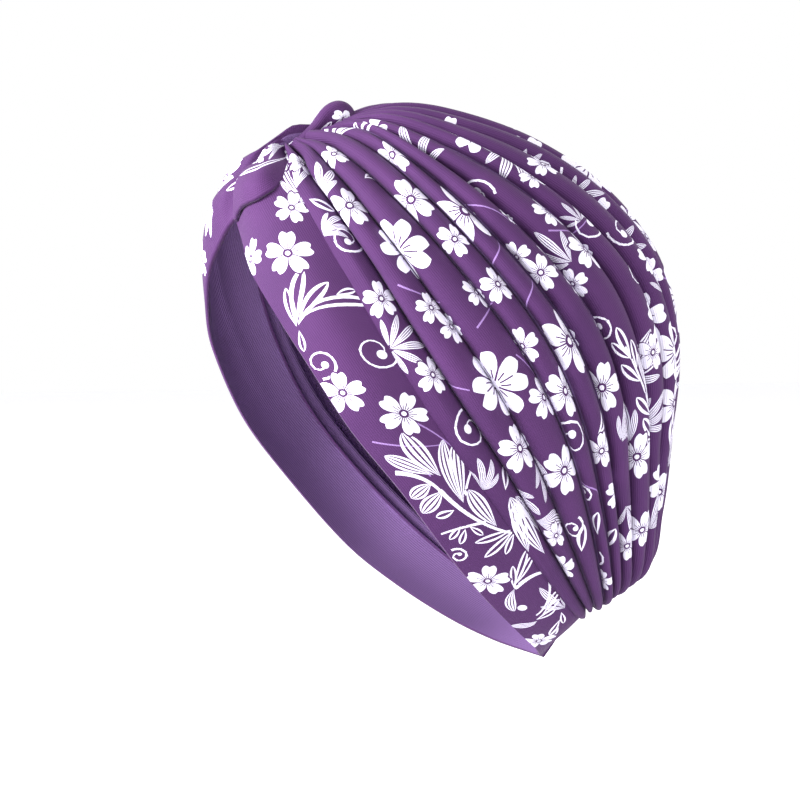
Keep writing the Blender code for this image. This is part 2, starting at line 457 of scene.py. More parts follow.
class PrintLayers:
    """The print on a set of quads: up to three motifs over each, in the motif's own coordinates.

    A quad takes a motif when its middle lies within a little of the ink; the allowances are in
    millimetres, and BARE is farther than any motif reaches."""

    LAYERS = 3
    BARE = 9.0
    SEARCHED = 3.0
    STAMP_EDGE = 1.05
    STAMP_ALLOWS = 2.0
    STROKE_ALLOWS = 2.2

    def __init__(self, cloth: np.ndarray) -> None:
        """Start with bare cloth.

        Args:
            cloth: Quads by 4 corners by 2, in millimetres.
        """
        self.cloth = cloth
        self.middle = cloth.mean(axis=1)
        count = len(cloth)
        self.far = np.full((self.LAYERS, count), self.BARE)
        self.kind = np.full((self.LAYERS, count), Motif.NONE.value, np.float32)
        self.place = np.zeros((self.LAYERS, count, 4, 2), np.float32)

    def near(self, centre: np.ndarray, reach: float) -> np.ndarray:
        """Numbers of the quads within a reach of a point of the cloth."""
        gap = np.abs(self.middle - centre)
        return np.flatnonzero((gap[:, 0] < reach) & (gap[:, 1] < reach))

    def add(self, quads: np.ndarray, far: np.ndarray, place: np.ndarray, kind: Motif) -> None:
        """Lay a motif over quads, in place of what matters least there.

        Args:
            quads: Numbers of the quads.
            far: How far each lies from the middle of the motif's ink; 1 is its edge.
            place: The corners in the motif's coordinates.
            kind: The motif's kind.
        """
        worst = self.far[:, quads].argmax(axis=0)
        better = far < self.far[worst, quads]
        layer, quad = worst[better], quads[better]
        self.far[layer, quad] = far[better]
        self.kind[layer, quad] = kind.value
        self.place[layer, quad] = place[better]

    def stamp(self, kind: Motif, foot: Foot, size: float) -> None:
        """Print a round motif.

        Args:
            kind: FLOWER, CLOVER or DOT.
            foot: Its middle and its turn.
            size: Its diameter, in millimetres.
        """
        middle = np.array(foot[:2])
        quads = self.near(middle, self.STAMP_EDGE * size / 2 + self.SEARCHED)
        c, s = math.cos(math.radians(foot.turn)), math.sin(math.radians(foot.turn))
        over, up = np.moveaxis((self.cloth[quads] - middle) / (size / 2), -1, 0)
        place = np.stack((c * over + s * up, c * up - s * over), -1)
        far = np.linalg.norm(place.mean(axis=1), axis=-1)
        near = far < self.STAMP_EDGE + 2 * self.STAMP_ALLOWS / size
        self.add(quads[near], far[near], place[near], kind)

    def stroke(self, kind: Motif, route: np.ndarray, width: float) -> None:
        """Print a leaf or line along a route.

        Args:
            kind: LEAF, PLUME, LINE or TENDRIL.
            route: Points on the cloth, in millimetres.
            width: Half width at the widest place.
        """
        reach = np.abs(route - route.mean(axis=0)).max() + width + self.SEARCHED
        quads = self.near(route.mean(axis=0), reach)
        if not len(quads):
            return
        start, leg = route[:-1], np.diff(route, axis=0)
        length = np.linalg.norm(leg, axis=1)
        offset = self.middle[quads][:, None] - start
        share = np.clip((offset * leg).sum(-1) / length ** 2, 0, 1)
        gap = np.linalg.norm(offset - share[..., None] * leg, axis=-1)
        which = gap.argmin(axis=1)
        far = gap[np.arange(len(quads)), which] / width
        near = far < 1.0 + self.STROKE_ALLOWS / width
        quads, which, far = quads[near], which[near], far[near]
        ahead = leg[which] / length[which][:, None]
        offset = self.cloth[quads] - start[which][:, None]
        along = (offset * ahead[:, None]).sum(-1)
        across = offset[..., 1] * ahead[:, None, 0] - offset[..., 0] * ahead[:, None, 1]
        done = np.concatenate(((0.0,), np.cumsum(length)))
        place = np.stack(((done[which][:, None] + along) / done[-1], across / width), -1)
        self.add(quads, far, place, kind)

    def leaf(self, foot: Foot, length: float, width: float, bend: float, kind: Motif = Motif.LEAF) -> None:
        """Print one leaf or plume, in millimetres, which bends by degrees on its way."""
        self.stroke(kind, arc_route(foot, length, bend), width / 2)

    def fan(self, foot: Foot, spread: float, length: float, bend: float, count: int) -> None:
        """Print plumes that fan out from one foot, the middle ones longest.

        Args:
            foot: The foot, with the heading of the middle one.
            spread: Angle between the outer ones, in degrees.
            length: Length of the middle one, in millimetres.
            bend: Degrees that each bends through.
            count: How many.
        """
        for place in np.linspace(-0.5, 0.5, count):
            size = length * (1 - PEN.fan_shortens * abs(place))
            heading = foot.turn + PEN.fan_spread * spread * place
            self.leaf(foot._replace(turn=heading), size, PEN.plume_width * size, bend, Motif.PLUME)

    def spray(self, foot: Foot, length: float, bend: float, leaves: int) -> None:
        """Print a stem with leaves that grow from both sides of it and one at its end.

        Args:
            foot: The stem's foot.
            length: Its length, in millimetres.
            bend: Degrees that it bends through.
            leaves: How many leaves grow from its sides.
        """
        stem = arc_route(foot, length, bend)
        self.stroke(Motif.LINE, stem, PEN.spray_stem_mm)
        most = min(length, PEN.spray_most_mm)
        for number in range(leaves):
            share = (number + PEN.spray_before) / (leaves + PEN.spray_after)
            place = stem[int(share * (len(stem) - 1))]
            side = 1 if number % 2 else -1
            heading = foot.turn + bend * share + side * PEN.spray_leaf_turn
            size = most * (PEN.spray_leaf - PEN.spray_shortens * share)
            self.leaf(Foot(*place, heading), size, PEN.spray_leaf_width * size, -side * PEN.spray_leaf_bend)
        tip = Foot(*stem[-2], foot.turn + bend)
        self.leaf(tip, PEN.spray_tip * most, PEN.spray_tip_width * most, bend * PEN.spray_tip_bend)

    def curl(self, foot: Foot, size: float, hand: int) -> None:
        """Print a curl that winds in to a dot.

        Args:
            foot: The curl's foot.
            size: Diameter of its outer turn, in millimetres.
            hand: 1 to wind to the left, -1 to the right.
        """
        route = [np.array(foot[:2])]
        heading = math.radians(foot.turn)
        for step in range(PEN.curl_steps):
            radius = size / 2 * (PEN.curl_opens - PEN.curl_closes * step / PEN.curl_steps)
            leg = PEN.curl_turn * radius * np.array((math.cos(heading), math.sin(heading)))
            route.append(route[-1] + leg)
            heading += hand * PEN.curl_turn
        self.stroke(Motif.LINE, np.array(route), PEN.curl_line_mm)
        self.stamp(Motif.DOT, Foot(*route[-1]), PEN.curl_dot * size)


def arc_route(foot: Foot, length: float, bend: float) -> np.ndarray:
    """Points along an arc on the cloth.

    Args:
        foot: Its foot and its heading there.
        length: Its length, in millimetres.
        bend: Degrees that it bends through.

    Returns:
        The points, from the foot.
    """
    headings = np.radians(foot.turn + bend * (np.arange(PEN.arc_steps) + 0.5) / PEN.arc_steps)
    legs = np.stack((np.cos(headings), np.sin(headings)), -1) * length / PEN.arc_steps
    return np.concatenate(((foot[:2],), foot[:2] + np.cumsum(legs, axis=0)))


@dataclass(frozen=True)
class PrintChart:
    """A stretch of the print, charted in the cloth's coordinates, in millimetres.

    Each row starts with its place across and along the cloth. A flower or clover adds its size and
    turn; a leaf or plume its turn, length, width and bend; a stem its turn, length, bend and width;
    a dot its size; a fan its turn, spread, length, bend and number of plumes; a spray its turn,
    length, bend and number of leaves; a curl its turn, size and hand; and a tendril its turn, length
    and bend. Turns are in degrees."""

    flowers: tuple = ()
    clovers: tuple = ()
    leaves: tuple = ()
    plumes: tuple = ()
    stems: tuple = ()
    dots: tuple = ()
    fans: tuple = ()
    sprays: tuple = ()
    curls: tuple = ()
    tendrils: tuple = ()

@dataclass(frozen=True)
class Laid:
    """A chart as it is laid on a cloth: its shifts in millimetres, and -1 for one upside down."""

    chart: PrintChart
    across: float = 0.0
    along: float = 0.0
    sign: int = 1

    def foot(self, x: float, y: float, turn: float = 0.0) -> Foot:
        """A motif's foot, shifted and turned with the chart."""
        return Foot(x + self.across, self.sign * y + self.along, self.sign * turn)

    def print_on(self, layers: PrintLayers) -> None:
        """Print the chart on cloth.

        Args:
            layers: The cloth's layers of print.
        """
        chart, sign = self.chart, self.sign
        for x, y, size, turn in chart.flowers:
            layers.stamp(Motif.FLOWER, self.foot(x, y, turn), size)
        for x, y, size, turn in chart.clovers:
            layers.stamp(Motif.CLOVER, self.foot(x, y, turn), size)
        for *at, length, width, bend in chart.leaves:
            layers.leaf(self.foot(*at), length, width, sign * bend)
        for *at, length, width, bend in chart.plumes:
            layers.leaf(self.foot(*at), length, width, sign * bend, Motif.PLUME)
        for *at, length, bend, width in chart.stems:
            layers.stroke(Motif.LINE, arc_route(self.foot(*at), length, sign * bend), width / 2)
        for *at, size in chart.dots:
            layers.stamp(Motif.DOT, self.foot(*at), size)
        for *at, spread, length, bend, count in chart.fans:
            layers.fan(self.foot(*at), spread, length, sign * bend, count)
        for *at, length, bend, leaves in chart.sprays:
            layers.spray(self.foot(*at), length, sign * bend, leaves)
        for *at, size, hand in chart.curls:
            layers.curl(self.foot(*at), size, sign * hand)
        for *at, length, bend in chart.tendrils:
            layers.stroke(Motif.TENDRIL, arc_route(self.foot(*at), length, sign * bend), PEN.tendril_mm)


CROWN_CHART = PrintChart(
    flowers=(
        (37, -69, 21, 10), (82, -56, 22, 0), (84, -32, 16, 30), (106, -77, 19, 20), (12, -29, 17, 0),
        (14, 8, 17, 20), (41, -15, 15, 0), (45, -4, 16, 30), (70, -10, 16, 15), (86, -7, 17, 0),
        (124, -10, 15, 0), (128, 1, 17, 30), (162, -16, 18, 0), (162, 6, 21, 10), (144, 14, 15, 0),
        (140, -25, 12, 0), (78, 19, 17, 0), (86, 45, 22, 20), (68, 42, 19, 0), (126, 56, 22, 10),
        (190, 50, 25, 0), (208, 28, 17, 0), (181, -31, 13, 0), (204, -32, 15, 20), (40, 54, 22, 0),
        (61, 73, 22, 25), (106, 78, 16, 0), (150, 96, 21, 0), (112, 100, 16, 0), (153, 131, 18, 0),
        (130, 132, 16, 10), (31, 116, 16, 0), (79, 139, 13, 0), (36, 98, 13, 0), (183, 118, 19, 15),
        (203, 90, 20, 0), (200, 128, 18, 0), (214, 112, 17, 20), (176, 60, 16, 0), (110, -38, 31, 0),
        (110, 30, 30, 10), (60, -95, 15, 0), (14, -104, 16, 0), (150, -98, 17, 0), (190, -84, 19, 0),
    ),
    clovers=((51, -42, 30, 35), (50, 26, 31, 0), (204, 68, 25, 20), (186, -60, 22, 0)),
    leaves=(
        (62, -76, -30, 14, 5, 60), (12, 66, -40, 11, 5, 0), (57, 113, -80, 13, 5, 20),
        (81, 112, -100, 12, 4, 40), (106, 70, -20, 12, 6, 0), (92, 60, 100, 14, 4, -60),
        (118, 118, -80, 16, 5, 20), (100, 128, -60, 14, 5, 0), (8, -82, 60, 12, 5, -30),
    ),
    plumes=((12, 104, -95, 34, 9, 10), (6, 98, -80, 26, 7, 10), (17, 96, -85, 24, 6, -20)),
    fans=(
        (5, -64, -30, 70, 17, 40, 4), (26, -82, -15, 60, 22, -50, 4), (6, -90, -60, 50, 20, -30, 3),
        (4, -10, 5, 140, 19, 0, 6), (140, -68, -60, 100, 25, 30, 5), (192, -50, 130, 60, 28, 30, 4),
        (150, 6, -120, 90, 22, 10, 4), (178, -4, -90, 130, 11, 0, 5), (214, -14, 40, 110, 16, 0, 5),
        (50, 62, 96, 50, 26, 30, 4), (22, 70, 40, 70, 22, 50, 4), (30, 88, 10, 40, 22, 50, 3),
        (3, 60, -30, 70, 17, -40, 4), (8, 80, -20, 50, 16, 30, 3), (160, 72, -60, 80, 28, 20, 5),
        (146, 90, -100, 60, 24, -20, 4), (168, 92, -40, 70, 22, 20, 4), (130, 82, -60, 70, 18, 20, 4),
        (206, 44, -80, 90, 16, 0, 4), (130, 112, 70, 60, 16, 20, 3), (176, 138, -60, 80, 20, 0, 4),
        (190, 142, -80, 80, 20, 20, 4), (216, 88, -60, 90, 20, 0, 4), (224, 122, -100, 80, 20, 0, 4),
    ),
    sprays=((168, 104, -112, 58, 12, 9), (206, 112, -80, 40, 30, 7), (96, -108, -10, 30, 40, 5)),
    curls=(
        (19, -53, 150, 10, 1), (18, 27, 180, 12, -1), (138, 34, -45, 9, 1), (186, 37, -20, 10, -1),
        (186, -8, 60, 12, 1), (150, -36, -60, 11, -1), (74, 58, -30, 11, 1), (74, 90, -60, 6, 1),
        (80, 122, 60, 8, 1), (196, 8, 100, 11, -1), (60, 96, 60, 7, 1),
    ),
    tendrils=(
        (58, 2, -20, 30, 20), (98, -14, -10, 26, -30), (20, 12, 20, 26, 40), (98, 10, -40, 30, 40),
        (74, 84, 10, 18, 60), (34, -30, 60, 24, -40), (120, -44, 30, 26, 50), (152, -10, 40, 30, -50),
        (66, 20, 60, 20, 30),
    ),
)
BAND_CHART = PrintChart(
    flowers=(
        (32, 12, 19, 0), (31, 36, 15, 20), (20, 54, 21, 8), (3, 42, 18, 40), (6, 117, 19, 0),
        (22, 134, 21, 30), (38, 158, 16, 0), (6, 220, 19, 15), (4, 274, 17, 0),
    ),
    leaves=(
        (5, 84, -76, 18, 4.6, 10), (5, 84, -62, 27, 6, 20), (6, 84, -38, 25, 5, 14), (6, 83, -26, 39, 5, 62),
        (5, 86, 110, 10, 3, 0), (27, 77, -10, 9, 3, 20), (13, 181, 175, 8, 3.6, 10),
        (11, 189, 146, 8, 2.8, 10), (12, 191, 129, 8, 2.8, 10), (14, 191, 68, 7, 2.8, 0),
        (29, 204, 199, 18, 3.4, -6), (29, 205, 177, 18, 3.6, -10), (29, 206, 155, 11, 3.4, -10),
        (13, 230, -66, 13, 3.2, 6), (13, 229, -44, 21, 3.6, 14), (14, 228, -30, 19, 3, 12),
        (19, 249, -30, 12, 3.2, 16), (15, 252, -18, 12, 3.2, 10), (11, 254, -8, 11, 3.2, 4),
        (20, 261, 140, 14, 3.4, -10), (17, 265, 126, 12, 3.2, 10), (23, 257, 110, 9, 3, 0),
    ),
    plumes=(
        (15, 163, -128, 19, 6, 6), (17, 165, -100, 24, 8.5, 16), (18, 180, -88, 31, 6, 36),
        (18, 180, -70, 29, 6.5, 20), (24, 198, -97, 22, 8, 10), (12, 166, 168, 11, 6, -10),
        (14, 171, 158, 14, 6.5, -8), (13, 230, 142, 16, 4.5, -50), (11, 255, 150, 12, 4, 70),
    ),
    stems=(
        (3, 156, 28, 18, 54, 2.2), (13, 170, 84, 39, -34, 2.0), (20, 178, -50, 20, 30, 1.2),
        (21, 193, 204, 19, -24, 1.4), (13, 230, -24, 19, 62, 2.2), (30, 233, 108, 26, 52, 1.4),
    ),
    dots=((10, 243, 4.0),),
    fans=((38, 38, -100, 30, 24, 10, 3), (26, 256, -110, 60, 20, 20, 3)),
    curls=((2, 109, 10, 9, -1), (38, 103, 95, 13, 1), (2, 198, 0, 5, 1)),
    tendrils=((24, 140, 60, 24, 30), (4, 140, 40, 26, -20), (12, 150, 80, 20, 10)),
)
FLAP_CHART = PrintChart(
    flowers=((10, 86, 15, 0), (30, -14, 14, 0), (28, 22, 18, 0), (8, 52, 17, 20), (30, 66, 20, 10)),
    leaves=((17, -46, 92, 36, 5, 4), (14, -8, 80, 18, 4, 20), (24, 70, 100, 16, 5, 0)),
    fans=((10, 22, 60, 70, 20, 30, 5), (22, 46, 100, 60, 20, 20, 4), (34, -34, 100, 40, 22, 10, 3)),
)
KNOT_CHART = PrintChart(
    flowers=((27, 40, 14, 0), (25, 56, 13, 20), (4, 44, 13, 10)),
    leaves=((22, 20, 70, 14, 4, 20), (12, 26, 75, 12, 4, 20)),
    fans=((13, 2, 80, 50, 18, 20, 3),),
)

# The print repeats round the crown in one length. On the right band it runs the other way.
CROWN_PRINT = (
    Laid(CROWN_CHART),
    Laid(CROWN_CHART, across=204, along=28),
    Laid(CROWN_CHART, across=408, along=-6),
)
LEFT_BAND = (Laid(BAND_CHART),)
RIGHT_BAND = (Laid(FLAP_CHART), Laid(BAND_CHART, along=372, sign=-1))


# How often the parts of an uneven wave swing for one turn of its slowest, and how high they reach.
SWINGS = (1.0, 1.9, 3.1)
SWINGS_REACH = 1.85


def wave(seed: int, at: np.ndarray, scale: float) -> np.ndarray:
    """Slow even waviness from -1 to 1, the same for the same seed.

    Args:
        seed: Seed of the draw.
        at: Where it is read.
        scale: Radians of its slowest turn over a step of 1.

    Returns:
        The heights.
    """
    draw = np.random.default_rng(seed)
    total = np.zeros_like(np.asarray(at, float))
    for turns in SWINGS:
        total += np.sin(at * scale * turns + draw.uniform(0, 2 * math.pi)) / turns
    return total / SWINGS_REACH


@dataclass
class Cloth:
    """A closed wall of cloth between an outer and an inner skin, with the print on the outer one."""

    name: str
    outside: ClothSkin
    inside: ClothSkin

    def build(self, prints: tuple[Laid, ...], finish: bpy.types.Material) -> bpy.types.Object:
        """Make the mesh with the cloth's coordinates, the print's layers and which skin a face is on.

        Args:
            prints: What is printed on the outer skin.
            finish: The cloth's material.

        Returns:
            The object, at the origin, linked to the scene.
        """
        rows, columns = self.outside.points.shape[:2]
        points = np.concatenate((self.outside.points.reshape(-1, 3), self.inside.points.reshape(-1, 3)))
        index = np.arange(rows * columns).reshape(rows, columns)
        skin = corners_of(index).reshape(-1, 4)
        inner = skin[:, ::-1] + rows * columns
        ring = np.concatenate((index[0, :], index[1:, -1], index[-1, -2::-1], index[-2:0:-1, 0]))
        after = np.roll(ring, -1)
        border = np.stack((after, ring, ring + rows * columns, after + rows * columns), axis=1)
        faces = np.concatenate((skin, inner, border))
        outer_cloth = self.outside.cloth.reshape(-1, 4, 2)
        inner_cloth = self.inside.cloth.reshape(-1, 4, 2)[:, ::-1]
        corner = points[faces]
        volume = np.einsum("ij,ij->", np.cross(corner[:, 0], corner[:, 1]), corner[:, 2])
        volume += np.einsum("ij,ij->", np.cross(corner[:, 0], corner[:, 2]), corner[:, 3])
        layers = PrintLayers(outer_cloth)
        for laid in prints:
            laid.print_on(layers)
        border_cloth = np.zeros((len(border), 4, 2))
        cloth = np.concatenate((outer_cloth, inner_cloth, border_cloth))
        skin_side = np.concatenate((np.zeros(len(skin)), np.ones(len(inner)), np.zeros(len(border))))
        rest = len(faces) - len(skin)
        kinds = [np.concatenate((kind, np.zeros(rest, np.float32))) for kind in layers.kind]
        places = [np.concatenate((place, np.zeros((rest, 4, 2), np.float32))) for place in layers.place]
        if volume < 0:
            faces = faces[:, ::-1]
            cloth = cloth[:, ::-1]
            places = [place[:, ::-1] for place in places]
        mesh = bpy.data.meshes.new(self.name)
        mesh.from_pydata(points, [], faces.tolist())
        self.write_uv(mesh, "cloth", cloth)
        for number, (kind, place) in enumerate(zip(kinds, places), start=1):
            self.write_uv(mesh, f"motif_{number}", place)
            mesh.attributes.new(f"kind_{number}", "FLOAT", "FACE").data.foreach_set("value", kind)
        mesh.attributes.new("inside", "FLOAT", "FACE").data.foreach_set("value", skin_side.astype(np.float32))
        mesh.validate()
        mesh.shade_smooth()
        mesh.materials.append(finish)
        made = bpy.data.objects.new(self.name, mesh)
        bpy.context.scene.collection.objects.link(made)
        return made

    def write_uv(self, mesh: bpy.types.Mesh, name: str, places: np.ndarray) -> None:
        """Write a map of corner places to the mesh."""
        mesh.uv_layers.new(name=name).data.foreach_set("uv", places.reshape(-1).astype(np.float32))


class Graph:
    """A node tree under construction."""

    def __init__(self, tree: bpy.types.NodeTree) -> None:
        """Work on a tree."""
        self.tree = tree

    def add(self, kind: str, *inputs, **settings) -> bpy.types.NodeSocket:
        """Add a node, with its inputs in order and its settings by name.

        Args:
            kind: The node's type after ShaderNode.
            inputs: Sockets to link, values to set, or None to leave an input alone.
            settings: Properties of the node.

        Returns:
            The node's first output.
        """
        node = self.tree.nodes.new("ShaderNode" + kind)
        for name, value in settings.items():
            setattr(node, name, value)
        for socket, value in zip(node.inputs, inputs):
            if isinstance(value, bpy.types.NodeSocket):
                self.tree.links.new(value, socket)
            elif value is not None:
                socket.default_value = value
        return node.outputs[0]


# A Mix node's inputs for numbers and vectors, left alone between its factor and its colours, and the
# number of its colour output.
NO_NUMBERS = (None,) * 5
MIXED_COLOUR = 2


@dataclass(frozen=True)
class MotifShape:
    """The motifs' outlines, in shares of a flower's radius or of a leaf's length and half width. What
    ends in more is added for a four-leaved blossom."""

    petals: float = 5.0
    petal_phase: float = 9.5
    petal_reach: float = 0.98
    gap_depth: float = 0.72
    gap_power: float = 3.0
    gap_power_more: float = 3.4
    notch_narrow: float = 3.4
    notch: float = 0.13
    notch_more: float = 0.14
    clear: float = 0.09
    slot: float = 0.034
    slot_from: float = 0.14
    vein_step: float = 0.26
    vein: float = 0.026
    vein_from: float = 0.2
    vein_to: float = 0.50
    vein_to_more: float = 0.1
    vein_shortens: float = 0.25
    eye_from: float = 0.10
    eye_to: float = 0.19
    leaf_rises: float = 1.2
    leaf_falls: float = 0.75
    leaf_full: float = 3.67
    leaf_least: float = 0.05
    slit: float = 0.54
    slit_inset: float = 0.14
    ray_step: float = 0.28
    ray: float = 0.11
    line_thins: float = 0.45


@dataclass(frozen=True)
class PrintedJersey:
    """Stretch jersey of polyester and elastane, printed by the piece: a matt cloth with fine upright
    ribs, a soft sheen on the turns of its folds and crisp paper-white ink. The ribs are as far apart
    as the needles of a 28 gauge machine, which is what the stretched cloth shows."""

    ground: str = "#4F2A5C"
    ground_deep: str = "#3D204B"
    ink: str = "#DDD9E9"
    tendril: str = "#9272AC"
    reverse: str = "#694E7D"
    rib_mm: float = 0.9
    stitch: float = 0.8
    stitch_height: float = 0.35
    knit_strength: float = 0.35
    knit_height: float = 0.2 * MM
    roughness: float = 0.78
    sheen: float = 0.04
    sheen_roughness: float = 0.45
    specular: float = 0.2
    uneven_scale: float = 38.0
    uneven_detail: float = 3.0
    uneven_roughness: float = 0.55
    shape: MotifShape = MotifShape()

    def material(self) -> bpy.types.Material:
        """Build the material.

        Returns:
            The finished material.
        """
        material = bpy.data.materials.new("printed_jersey")
        material.use_nodes = True
        tree = material.node_tree
        graph = Graph(tree)
        shader = tree.nodes["Principled BSDF"]
        white, lilac = self.print_masks(graph)
        inside = graph.add("Attribute", attribute_name="inside").node.outputs["Fac"]
        colour = self.ground_colour(graph)
        for share, over in ((lilac, self.tendril), (white, self.ink), (inside, self.reverse)):
            mixed = graph.add("Mix", share, *NO_NUMBERS, colour, linear(over), data_type="RGBA")
            colour = mixed.node.outputs[MIXED_COLOUR]
        tree.links.new(colour, shader.inputs["Base Color"])
        shader.inputs["Roughness"].default_value = self.roughness
        shader.inputs["Sheen Weight"].default_value = self.sheen
        shader.inputs["Sheen Roughness"].default_value = self.sheen_roughness
        shader.inputs["Specular IOR Level"].default_value = self.specular
        tree.links.new(self.knit_bump(graph), shader.inputs["Normal"])
        return material

    def ground_colour(self, graph: Graph) -> bpy.types.NodeSocket:
        """The dyed ground, a little uneven, as stretched jersey is.

        Args:
            graph: The material's graph.

        Returns:
            The colour.
        """
        place = graph.add("TexCoord").node.outputs["Object"]
        noise = graph.add(
            "TexNoise", place, None, self.uneven_scale, self.uneven_detail, self.uneven_roughness
        )
        dark, plain = linear(self.ground_deep), linear(self.ground)
        return graph.add("Mix", noise, *NO_NUMBERS, dark, plain, data_type="RGBA").node.outputs[MIXED_COLOUR]

    def knit_bump(self, graph: Graph) -> bpy.types.NodeSocket:
        """Fine ribs along the cloth and the stitches between them.

        Args:
            graph: The material's graph.

        Returns:
            The normal with the knit's relief.
        """
        across = graph.add("SeparateXYZ", graph.add("UVMap", uv_map="cloth"))
        heights = []
        for way, pitch_mm in ((across, self.rib_mm), (across.node.outputs[1], self.stitch * self.rib_mm)):
            turns = graph.add("Math", way, 2 * math.pi / pitch_mm, operation="MULTIPLY")
            heights.append(graph.add("Math", turns, operation="SINE"))
        rib, stitch = heights
        stitch = graph.add("Math", stitch, self.stitch_height, operation="MULTIPLY")
        height = graph.add("Math", rib, stitch, operation="ADD")
        return graph.add("Bump", self.knit_strength, self.knit_height, None, height)

    def print_masks(self, graph: Graph) -> tuple[bpy.types.NodeSocket, bpy.types.NodeSocket]:
        """Where the white and the lilac ink lie, from the cloth's three layers of motifs. Flowers are
        printed clear of the leaves behind them.

        Args:
            graph: The material's graph.

        Returns:
            The masks of white and of lilac.
        """
        group = bpy.data.node_groups.new("motif_ink", "ShaderNodeTree")
        self.fill_motif_group(group)
        merged = None
        for number in range(1, PrintLayers.LAYERS + 1):
            place = graph.add("UVMap", uv_map=f"motif_{number}")
            kind = graph.add("Attribute", attribute_name=f"kind_{number}").node.outputs["Fac"]
            ink = graph.add("Group", node_tree=group).node
            graph.tree.links.new(place, ink.inputs[0])
            graph.tree.links.new(kind, ink.inputs[1])
            if merged is None:
                merged = list(ink.outputs)
            else:
                merged = [graph.add("Math", a, b, operation="MAXIMUM") for a, b in zip(merged, ink.outputs)]
        flower, clear, leaf, lilac = merged
        around = graph.add("Math", 1.0, clear, operation="SUBTRACT")
        leaf = graph.add("Math", leaf, around, operation="MULTIPLY")
        lilac = graph.add("Math", lilac, around, operation="MULTIPLY")
        return graph.add("Math", flower, leaf, operation="MAXIMUM"), lilac

    def fill_motif_group(self, group: bpy.types.NodeTree) -> None:
        """Fill the group that turns a motif's coordinates and kind to ink.

        Args:
            group: The empty group.
        """
        group.interface.new_socket("Place", in_out="INPUT", socket_type="NodeSocketVector")
        group.interface.new_socket("Kind", in_out="INPUT", socket_type="NodeSocketFloat")
        for name in ("Flower", "Clear", "Leaf", "Lilac"):
            group.interface.new_socket(name, in_out="OUTPUT", socket_type="NodeSocketFloat")
        start = group.nodes.new("NodeGroupInput")
        end = group.nodes.new("NodeGroupOutput")
        graph = Graph(group)
        shape = self.shape

        def calc(operation: str, *values: bpy.types.NodeSocket | float) -> bpy.types.NodeSocket:
            """One step of arithmetic."""
            return graph.add("Math", *values, operation=operation)

        def of_kind(kind: Motif) -> bpy.types.NodeSocket:
            """Whether the motif is of a kind."""
            return calc("COMPARE", start.outputs[1], kind.value, 0.1)

        split = graph.add("SeparateXYZ", start.outputs[0])
        x, y = split, split.node.outputs[1]
        radius = calc("SQRT", calc("ADD", calc("MULTIPLY", x, x), calc("MULTIPLY", y, y)))
        turn = calc("DIVIDE", calc("ARCTAN2", y, x), 2 * math.pi)
        is_clover = of_kind(Motif.CLOVER)
        blossom = calc("MAXIMUM", of_kind(Motif.FLOWER), is_clover)
        petals = calc("SUBTRACT", shape.petals, is_clover)
        petal = calc("FRACT", calc("MULTIPLY_ADD", turn, petals, shape.petal_phase))
        spread = calc("ABSOLUTE", calc("MULTIPLY_ADD", petal, 2.0, -1.0))
        gap = calc("POWER", spread, calc("MULTIPLY_ADD", is_clover, shape.gap_power_more, shape.gap_power))
        notch = calc("MAXIMUM", calc("MULTIPLY_ADD", spread, -shape.notch_narrow, 1.0), 0.0)
        notch = calc("MULTIPLY", notch, calc("MULTIPLY_ADD", is_clover, shape.notch_more, shape.notch))
        edge = calc("SUBTRACT", calc("MULTIPLY_ADD", gap, -shape.gap_depth, shape.petal_reach), notch)
        petal_ink = calc("LESS_THAN", radius, edge)
        clear = calc("LESS_THAN", radius, calc("ADD", edge, shape.clear))
        slot = calc("MULTIPLY_ADD", spread, radius, calc("MULTIPLY", radius, -1.0))
        slot = calc("GREATER_THAN", slot, -shape.slot)
        slot = calc("MULTIPLY", slot, calc("GREATER_THAN", radius, shape.slot_from))
        vein = calc("MULTIPLY", calc("PINGPONG", spread, shape.vein_step), radius)
        vein_end = calc("MULTIPLY_ADD", is_clover, shape.vein_to_more, shape.vein_to)
        vein_end = calc("MULTIPLY_ADD", spread, -shape.vein_shortens, vein_end)
        veined = calc("MULTIPLY", calc("LESS_THAN", vein, shape.vein), calc("LESS_THAN", radius, vein_end))
        veined = calc("MULTIPLY", veined, calc("GREATER_THAN", radius, shape.vein_from))
        eye = calc("LESS_THAN", radius, shape.eye_to)
        eye = calc("MULTIPLY", eye, calc("GREATER_THAN", radius, shape.eye_from))
        eye = calc("MULTIPLY", eye, calc("SUBTRACT", 1.0, is_clover))
        marks = calc("MAXIMUM", calc("MAXIMUM", veined, eye), slot)
        flower = calc("MULTIPLY", petal_ink, calc("SUBTRACT", 1.0, marks))

        rising = calc("POWER", calc("MAXIMUM", x, 0.0), shape.leaf_rises)
        falling = calc("POWER", calc("MAXIMUM", calc("SUBTRACT", 1.0, x), 0.0), shape.leaf_falls)
        outline = calc("MULTIPLY", calc("MULTIPLY", rising, falling), shape.leaf_full)
        across = calc("ABSOLUTE", y)
        blade = calc("LESS_THAN", across, outline)
        slit = calc("LESS_THAN", across, calc("MULTIPLY_ADD", outline, shape.slit, -shape.slit_inset))
        slit = calc("MULTIPLY", slit, of_kind(Motif.LEAF))
        rays = calc("DIVIDE", across, calc("MAXIMUM", outline, shape.leaf_least))
        rays = calc("PINGPONG", rays, shape.ray_step)
        rayed = calc("MULTIPLY", calc("LESS_THAN", rays, shape.ray), of_kind(Motif.PLUME))
        blade = calc("MULTIPLY", blade, calc("SUBTRACT", 1.0, calc("MAXIMUM", slit, rayed)))
        is_blade = calc("MAXIMUM", of_kind(Motif.LEAF), of_kind(Motif.PLUME))

